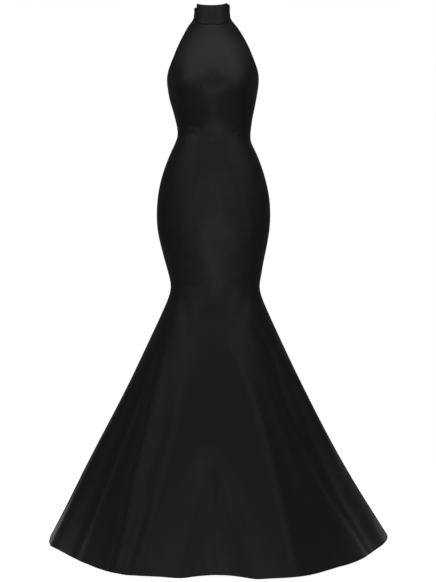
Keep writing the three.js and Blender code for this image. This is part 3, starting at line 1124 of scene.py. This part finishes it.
@dataclass
class Panels:
    """The front panel and the two back panels, from the collar or the underarm to the hem.

    Attributes:
        seam_lap: How far the grids reach past their sides.
        seam_end: How far below the underarm the side seam gives way to the armhole.
        stretches: The end of each stretch of rows, and how far apart they are in it.
    """

    front_columns: int = 132
    back_columns: int = 78
    samples: int = 41
    seam_lap: float = 0.4
    seam_end: float = 8
    neck_roll: float = 1.8
    front_cut: Cut = Cut(1.72, 1.66, 1.14)
    back_cut: Cut = Cut(0.92, 1.46, 0.56)
    stretches: tuple[tuple[float, float], ...] = (
        (690, 6.6), (860, 4.2), (1180, 5.6), (1320, 3.8), (1598, 4.8),
    )

    def levels(self, top: float) -> Array:
        """The heights of the grid's rows at the panel's edge, from the hem to a top.

        Args:
            top: The height of the last row.

        Returns:
            The heights, rising.
        """
        heights = list(EDGE_STEPS)
        for end, step in self.stretches:
            start, stop = heights[-1], min(end, top - EDGE_STEPS[-1])
            if stop > start:
                count = max(1, round((stop - start) / step))
                heights.extend(np.linspace(start, stop, count + 1)[1:])
        heights.extend(top - EDGE_STEPS[-2::-1])
        return np.array(heights)

    def grid(
        self, surface: Surface, low: float, high: float, top: float, count: int
    ) -> tuple[Array, Array]:
        """Places on a panel, close together near its edges.

        Args:
            surface: The panel's surface.
            low: The place across of the first side.
            high: The place across of the last side.
            top: The height of its top at the sides.
            count: The number of columns.

        Returns:
            The place across and the place up of each grid point.
        """
        levels = self.levels(top)[:, None]
        points = surface(np.linspace(low, high, self.samples)[None, :], levels)
        length = np.linalg.norm(np.diff(points, axis=1), axis=2).sum(axis=1)
        places = packed_places(length + 2 * self.seam_lap, count) - self.seam_lap
        across = low + (high - low) * places / length[:, None]
        return across, np.broadcast_to(levels, across.shape)

    def front(self) -> Piece:
        """The front panel, cut in one from the collar seam to the hem.

        Returns:
            The panel.
        """
        top = FORM.neck.sides
        across, up = self.grid(FORM.front_point, -100, 100, top, self.front_columns)
        share = across / 100
        seam = 1 - smooth(up, UNDERARM_HEIGHT - self.seam_end, UNDERARM_HEIGHT)
        free = 1 - seam
        return ClothGrid(
            surface=FORM.front_point,
            across=across,
            up=up,
            stand_off=relief(share * FORM.edge_turn(up), FORM.front_height(share, up)),
            sewn={Edge.FIRST_COLUMN: seam, Edge.LAST_COLUMN: seam, Edge.LAST_ROW: self.neck_roll},
            faced={Edge.FIRST_COLUMN: free, Edge.LAST_COLUMN: free, Edge.FIRST_ROW: 1.0},
        ).build("silk_front")

    def back(self, side: int) -> Piece:
        """A back panel, from the side seam to the centre back seam.

        Args:
            side: 1 for the wearer's left, -1 for the right.

        Returns:
            The panel.
        """
        low, high = (90, 180) if side > 0 else (-180, -90)
        turn, up = self.grid(FORM.back_point, low, high, UNDERARM_HEIGHT, self.back_columns)
        return ClothGrid(
            surface=FORM.back_point,
            across=turn,
            up=up,
            stand_off=relief(turn, FORM.back_height(turn, up)),
            sewn={Edge.FIRST_COLUMN: 1.0, Edge.LAST_COLUMN: 1.0},
            faced={Edge.LAST_ROW: 1.0, Edge.FIRST_ROW: 1.0},
        ).build("silk_back_left" if side > 0 else "silk_back_right")

    def build(self, wardrobe: Wardrobe) -> list[Piece]:
        """Args:
            wardrobe: The finishes.

        Returns:
            The panels.
        """
        panels = (self.front(), self.back(1), self.back(-1))
        nodes = ("front", "back_left", "back_right")
        cuts = (self.front_cut, self.back_cut, self.back_cut)
        return [wardrobe.place_silk(*each, "hung") for each in zip(panels, nodes, cuts)]


@dataclass
class Collar:
    """The stand collar: a tall front block over two lower bands that button at the nape."""

    block_end: float = 54.5
    block_centre_top: float = 1626.5
    block_right_top: float = 1634.5
    block_left_top: float = 1637
    block_swell: float = 0.25
    block_swell_rise: float = 0.5
    band_start: float = 46
    under_end: float = 186
    over_end: float = 193
    tuck_from: float = 80
    tuck_to: float = 100
    columns: int = 72
    rows: int = 26
    overlap: float = 1.2
    cloth: Cloth = Cloth(thickness=1.9, roll=0.15, roll_width=2.0)
    block_cut: Cut = Cut(0.115, 0.075, 0.0065)
    left_cut: Cut = Cut(0.145, 0.05, 0.0052)
    right_cut: Cut = Cut(0.135, 0.045, 0.0041)

    def block(self) -> Piece:
        """The tall front block, whose top dips at the middle.

        Returns:
            The block.
        """
        turn = packed_places(2 * self.block_end, self.columns)[None, :] - self.block_end
        end = np.where(turn < 0, self.block_right_top, self.block_left_top)
        high = self.block_centre_top + (end - self.block_centre_top) * (turn / self.block_end) ** 2
        low = FORM.neck_seam(turn) - self.overlap
        height = low + packed_places(high[0] - low[0], self.rows).T
        turn = np.broadcast_to(turn, height.shape)
        return ClothGrid(
            surface=lambda across, up: FORM.collar_point(across, up, BLOCK_OVAL),
            across=turn,
            up=height,
            stand_off=self.block_swell * unevenness(turn, height * self.block_swell_rise),
            cloth=self.cloth,
            sewn={Edge.FIRST_ROW: 1.0},
        ).build("silk_collar_front")

    def band(self, side: int) -> Piece:
        """A collar band.

        Args:
            side: 1 for the wearer's left, -1 for the right.

        Returns:
            The band.
        """
        end = self.over_end if side > 0 else self.under_end
        turn = self.band_start + packed_places(end - self.band_start, self.columns)[None, :]
        if side < 0:
            turn = turn[:, ::-1]
        tucked = self.overlap * (1 - smooth(turn, self.tuck_from, self.tuck_to))
        low, high = FORM.band_low(turn) - 2 * tucked, FORM.band_top(side, turn)
        height = low + packed_places(high[0] - low[0], self.rows).T
        turn = np.broadcast_to(turn, height.shape)
        return ClothGrid(
            surface=lambda across, up: FORM.band_point(side, side * across, up),
            across=side * turn,
            up=height,
            stand_off=np.zeros(turn.shape),
            cloth=self.cloth,
            sewn={Edge.FIRST_ROW: 1.0 - smooth(turn, self.tuck_from, self.tuck_to)},
        ).build("silk_band_left" if side > 0 else "silk_band_right")

    def build(self, wardrobe: Wardrobe) -> list[Piece]:
        """Args:
            wardrobe: The finishes.

        Returns:
            The pieces.
        """
        pieces = (self.block(), self.band(1), self.band(-1))
        nodes = ("collar_front", "collar_band_left", "collar_band_right")
        cuts = (self.block_cut, self.left_cut, self.right_cut)
        return [wardrobe.place_silk(*each, "stretched") for each in zip(pieces, nodes, cuts)]


@dataclass
class NapeButtons:
    """The two silk-covered dome buttons that close the collar at the nape.

    Attributes:
        inset: How far they sit from the band's edges.
        stand: How far their backs stand off the band.
        pleated: How many rings of the profile the pleats under the rim cross.
        profile: The radius and rise of each ring, from the back to the top.
    """

    turn: float = 184
    inset: float = 9
    stand: float = 1.0
    segments: int = 48
    pleats: int = 12
    pleat_depth: float = 0.12
    pleated: int = 2
    profile: tuple[tuple[float, float], ...] = (
        (0, 0), (4.2, 0), (5.0, 0.25), (5.4, 0.8), (5.5, 1.35), (5.35, 1.95),
        (4.85, 2.6), (4.0, 3.1), (2.8, 3.42), (1.4, 3.57), (0, 3.6),
    )

    def dome(self, name: str, foot: Array, normal: Array) -> Piece:
        """Turns the profile into a closed dome.

        Args:
            name: The piece's name.
            foot: The middle of its back, in millimetres above the hem.
            normal: The way it faces.

        Returns:
            The button.
        """
        count, rings = self.segments, self.profile[1:-1]
        angles = np.linspace(0, 2 * np.pi, count, endpoint=False)
        points = [(0, 0, 0)]
        for ring, (radius, rise) in enumerate(rings):
            depth = self.pleat_depth if ring < self.pleated else 0.0
            reach = radius - depth * (1 + np.cos(self.pleats * angles))
            points.extend(zip(reach * np.cos(angles), reach * np.sin(angles), [rise] * count))
        points.append((0, 0, self.profile[-1][1]))
        points = np.array(points, float)
        faces, top = [], 1 + (len(rings) - 1) * count
        for k in range(count):
            after = (k + 1) % count
            faces += [[0, 1 + after, 1 + k], [top + k, top + after, len(points) - 1]]
            for a in range(1, top, count):
                faces.append([a + k, a + after, a + count + after, a + count + k])
        turned = Vector((0, 0, 1)).rotation_difference(Vector(normal)).to_matrix()
        made = new_object(name, to_frame(points @ np.array(turned).T + foot), faces)
        add_weave(made, points[:, :2])
        return made

    def build(self, wardrobe: Wardrobe) -> list[Piece]:
        """Makes both buttons on the lapped band.

        Args:
            wardrobe: The finishes.

        Returns:
            The buttons.
        """
        turn, made = np.array(self.turn, float), []
        for label, height in (
            ("lower", FORM.band_low(turn) + self.inset),
            ("upper", FORM.band_top(1, turn) - self.inset),
        ):
            normal = unit_normal(lambda a, u: FORM.band_point(1, a, u), turn, height)
            foot = FORM.band_point(1, turn, height) + normal * self.stand
            button = self.dome(f"silk_button_{label}", foot, normal)
            made.append(wardrobe.place(button, Finish.SILK, f"nape_button_{label}"))
        return made


class ThreadShape(Enum):
    """The beads that run along a path: their size along, across and off it, in millimetres."""

    ZIP_COIL = (0.62, 2.6, 0.8)
    TAPE_STITCH = (1.9, 0.35, 0.3)


@dataclass(frozen=True)
class BeadRow:
    """Small rounded beads at an even spacing along a path, made by Geometry Nodes.

    Attributes:
        shape: The beads' size.
        spacing: From one to the next, in millimetres.
    """

    shape: ThreadShape
    spacing: float

    def tree(self) -> Tree:
        """Builds the node tree: a path in, beads along it out, as one mesh.

        Returns:
            The tree.
        """
        tree = bpy.data.node_groups.new("beads_along_path", "GeometryNodeTree")
        for name, way, kind in (
            ("Path", "INPUT", "Geometry"), ("Spacing", "INPUT", "Float"),
            ("Bead Size", "INPUT", "Vector"), ("Beads", "OUTPUT", "Geometry"),
        ):
            tree.interface.new_socket(name, in_out=way, socket_type=f"NodeSocket{kind}")
        given = add_node(tree, "NodeGroupInput").outputs
        curve = add_node(tree, "GeometryNodeMeshToCurve", Mesh=given["Path"])
        points = add_node(
            tree, "GeometryNodeResampleCurve", {"mode": "LENGTH"},
            Curve=curve.outputs["Curve"], Length=given["Spacing"],
        )
        tangent = add_node(tree, "GeometryNodeInputTangent")
        named = {"data_type": "FLOAT_VECTOR", "Name": "out"}
        outward = add_node(tree, "GeometryNodeInputNamedAttribute", named)
        turned = add_node(
            tree, "FunctionNodeAxesToRotation", {"primary_axis": "X", "secondary_axis": "Z"},
            Primary_Axis=tangent.outputs[0], Secondary_Axis=outward.outputs["Attribute"],
        )
        ball = {"Segments": 8, "Rings": 5, "Radius": 0.5}
        bead = add_node(tree, "GeometryNodeMeshUVSphere", ball)
        beads = add_node(
            tree, "GeometryNodeInstanceOnPoints",
            Points=points.outputs["Curve"], Instance=bead.outputs["Mesh"],
            Rotation=turned.outputs["Rotation"], Scale=given["Bead Size"],
        )
        real = add_node(tree, "GeometryNodeRealizeInstances", Geometry=beads.outputs["Instances"])
        add_node(tree, "NodeGroupOutput", Beads=real.outputs["Geometry"])
        return tree

    def along(self, name: str, paths: list[tuple[Array, Array]]) -> Piece:
        """Makes the beads along one or more paths as one plain mesh.

        Args:
            name: The new piece's name.
            paths: Each path's points, in millimetres above the hem, and the way out at each.

        Returns:
            The piece.
        """
        points, edges, outs = [], [], []
        for line, out in paths:
            edges += [(len(points) + k, len(points) + k + 1) for k in range(len(line) - 1)]
            points.extend(to_frame(line))
            outs.extend(out)
        made = new_object(name, np.array(points), edges=edges)
        attribute = made.data.attributes.new("out", "FLOAT_VECTOR", "POINT")
        attribute.data.foreach_set("vector", np.array(outs, np.float32).ravel())
        tree = self.tree()
        modifier = made.modifiers.new("beads", "NODES")
        modifier.node_group = tree
        sockets = {item.name: item.identifier for item in tree.interface.items_tree}
        modifier[sockets["Spacing"]] = self.spacing * MM
        modifier[sockets["Bead Size"]] = [size * MM for size in self.shape.value]
        bake(made)
        bpy.data.node_groups.remove(tree)
        return made


@dataclass
class BackZip:
    """The concealed zip in the centre back seam: tape, coil, stitching, slider and pull tab.

    Attributes:
        depth: How far the tape lies inside the silk's surface.
        end_gap: How far the coil and the stitches stop short of the tape's ends.
        coil_gap: How far the coil lies inside the tape.
        stitch_offset: How far each row of stitches lies from centre back.
        weld: How close two points of a solid are when they are one, in metres.
        bevel: The width of the metal's eased edges.
        bevel_from: The least angle between two faces whose edge is eased.
        sharp_from: The least angle between two faces that are shaded apart.
    """

    top: float = 1309
    bottom: float = 984
    half_width: float = 12
    depth: float = 3.2
    columns: int = 30
    rows: int = 90
    tape: Cloth = Cloth(thickness=0.6)
    tape_cut: Cut = Cut(0.024, 0.33, 0.0079)
    end_gap: float = 4
    path_points: int = 80
    coil_gap: float = 0.3
    coil_spacing: float = 1.4
    stitch_offset: float = 8.5
    stitch_spacing: float = 2.6
    weld: float = 1e-5
    bevel: float = 0.22
    bevel_from: float = math.radians(35)
    sharp_from: float = math.radians(40)

    def surface(self, offset: Array, height: Array) -> Array:
        """A point of the silk at an offset round the body from centre back."""
        return FORM.gown_point(180 + np.degrees(offset / FORM.half(height)), height)

    def line(self, offset: float, depth: float) -> tuple[Array, Array]:
        """A path down the zip, and the way out along it.

        Args:
            offset: How far it lies to the side of centre back.
            depth: How far it lies inside the silk's surface.

        Returns:
            Its points and outward directions.
        """
        ends = self.top - self.end_gap, self.bottom + self.end_gap
        height = np.linspace(*ends, self.path_points)
        across = np.full(height.shape, float(offset))
        normal = unit_normal(self.surface, across, height)
        return self.surface(across, height) - normal * depth, normal

    def build_tape(self, wardrobe: Wardrobe) -> Piece:
        """Makes the tape inside the centre back seam.

        Args:
            wardrobe: The finishes.

        Returns:
            The tape.
        """
        offset = packed_places(2 * self.half_width, self.columns)[None, :] - self.half_width
        height = self.bottom + packed_places(self.top - self.bottom, self.rows)[:, None]
        offset, height = np.broadcast_arrays(offset, height)
        sunk = np.full(offset.shape, -self.depth)
        tape = ClothGrid(self.surface, offset, height, sunk, self.tape).build("zip_tape_woven")
        wardrobe.place(tape, Finish.ZIP_CLOTH, "zip_tape")
        return tape

    def build_threads(self, wardrobe: Wardrobe) -> list[Piece]:
        """Makes the coil and the rows of stitches that hold the tape.

        Args:
            wardrobe: The finishes.

        Returns:
            Both pieces.
        """
        inside = self.depth + self.tape.thickness
        middle = [self.line(0, inside + self.coil_gap)]
        sides = [self.line(offset, inside) for offset in (-self.stitch_offset, self.stitch_offset)]
        coil = BeadRow(ThreadShape.ZIP_COIL, self.coil_spacing).along("zip_coil", middle)
        stitching = BeadRow(ThreadShape.TAPE_STITCH, self.stitch_spacing)
        stitches = stitching.along("zip_stitches", sides)
        return [wardrobe.place(coil, Finish.COIL), wardrobe.place(stitches, Finish.THREAD)]

    def build_metal(self, solid: Piece, node: str, body: str, wardrobe: Wardrobe) -> Piece:
        """Makes the slider or the pull tab with eased edges.

        Args:
            solid: The part's solid.
            node: Its name.
            body: The body it rides on.
            wardrobe: The finishes.

        Returns:
            The piece.
        """
        piece = link(bpy.data.objects.new(f"{node}_enamelled", solid.data.copy()))
        piece.modifiers.new("weld", "WELD").merge_threshold = self.weld
        ease = piece.modifiers.new("ease", "BEVEL")
        ease.width = self.bevel * MM
        ease.segments = 3
        ease.limit_method = "ANGLE"
        ease.angle_limit = self.bevel_from
        bake(piece)
        piece.data.set_sharp_from_angle(angle=self.sharp_from)
        return wardrobe.place(piece, Finish.BLACK_METAL, node, body)

    def build(self, nodes: dict[str, Piece], wardrobe: Wardrobe) -> list[Piece]:
        """Makes the whole zip.

        Args:
            nodes: The part's solids by name.
            wardrobe: The finishes.

        Returns:
            The pieces.
        """
        made = [self.build_tape(wardrobe), *self.build_threads(wardrobe)]
        for node, body in (("zip_slider", "gown"), ("zip_pull", "pull_tab")):
            made.append(self.build_metal(nodes[node], node, body, wardrobe))
        return made


def stand(thing: Piece, place: tuple, aim: tuple) -> Piece:
    """Stands a light or camera at a place, facing an aim and out of sight.

    Args:
        thing: The light or camera.
        place: Where it stands, in metres.
        aim: The point it faces.

    Returns:
        The same object, in the scene.
    """
    thing.location = place
    thing.rotation_euler = (Vector(aim) - Vector(place)).to_track_quat("-Z", "Y").to_euler()
    thing.visible_camera = False
    return link(thing)


@dataclass(frozen=True)
class AreaLight:
    """A soft box: its place and aim in metres, its size and its power in watts."""

    name: str
    place: tuple[float, float, float]
    aim: tuple[float, float, float]
    size: tuple[float, float]
    power: float

    def make(self) -> Piece:
        """Hangs the light.

        Returns:
            The light.
        """
        data = bpy.data.lights.new(self.name, "AREA")
        data.shape = "RECTANGLE"
        data.size, data.size_y = self.size
        data.energy = self.power
        return stand(bpy.data.objects.new(self.name, data), self.place, self.aim)


@dataclass
class Studio:
    """A plain white studio: floor, soft lights, pale surroundings and the camera."""

    floor_height: float = -1.609
    floor_reach: float = 1.1
    camera_place: tuple[float, float, float] = (0.018, -4.35, -0.6)
    camera_aim: tuple[float, float, float] = (0.018, 0.0, -0.833)
    lens: float = 87.93
    sensor: float = 36.0
    sight: float = 200.0
    surround: float = 0.16
    lights: tuple[AreaLight, ...] = table(
        AreaLight,
        ("chest_box", (0.0, -0.62, 0.68), (0.0, -0.05, -0.12), (3.6, 0.2), 27.0),
        ("front_strip", (0.08, -4.0, -0.8), (0.02, 0.0, -0.5), (0.9, 1.1), 44.0),
        ("low_box", (0.05, -2.6, -1.5), (0.02, 0.0, -0.3), (0.9, 0.3), 11.0),
        ("left_box", (2.4, -2.4, 0.1), (0.0, 0.0, -0.7), (1.2, 1.8), 21.0),
        ("right_box", (-2.4, -2.4, 0.1), (0.0, 0.0, -0.9), (1.2, 1.8), 22.0),
        ("rear_box", (0.3, 3.4, 0.6), (0.0, 0.0, -0.6), (1.8, 1.2), 24.0),
    )

    def build(self) -> None:
        """Makes the studio."""
        ways = ((-1, -1), (1, -1), (1, 1), (-1, 1))
        corners = [(x * self.floor_reach, y * self.floor_reach, self.floor_height) for x, y in ways]
        floor = new_object("studio_floor", corners, [[0, 1, 2, 3]])
        floor.data.materials.append(STUDIO_WHITE.make())
        for light in self.lights:
            light.make()
        camera = bpy.data.cameras.new("camera")
        camera.lens = self.lens
        camera.sensor_width = self.sensor
        camera.clip_end = self.sight
        tripod = bpy.data.objects.new("camera", camera)
        bpy.context.scene.camera = stand(tripod, self.camera_place, self.camera_aim)
        self.surroundings()

    def surroundings(self) -> None:
        """A pale world: white where it is seen, dim where it lights the silk."""
        world = bpy.data.worlds.new("white_studio")
        bpy.context.scene.world = world
        world.use_nodes = True
        tree = world.node_tree
        tree.nodes.clear()
        seen = add_node(tree, "ShaderNodeLightPath").outputs["Is Camera Ray"]
        level = add_node(
            tree, "ShaderNodeMapRange", {"To Min": self.surround, "To Max": 1.0}, Value=seen
        )
        paint = add_node(
            tree, "ShaderNodeBackground", {"Color": (1, 1, 1, 1)},
            Strength=level.outputs["Result"],
        )
        output = add_node(tree, "ShaderNodeOutputWorld", Surface=paint.outputs["Background"])
        output.is_active_output = True
        bpy.context.scene.view_settings.view_transform = "Standard"


def main() -> None:
    """Builds every piece in order."""
    logging.basicConfig(level=logging.INFO, format="%(name)s: %(message)s")
    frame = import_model()
    Studio().build()
    wardrobe = Wardrobe()
    made = [
        *Panels().build(wardrobe),
        *Collar().build(wardrobe),
        *NapeButtons().build(wardrobe),
        *BackZip().build(frame["nodes"], wardrobe),
    ]
    for piece in made:
        LOG.info("%s: %d faces", piece.name, len(piece.data.polygons))


if __name__ == "__main__":
    main()
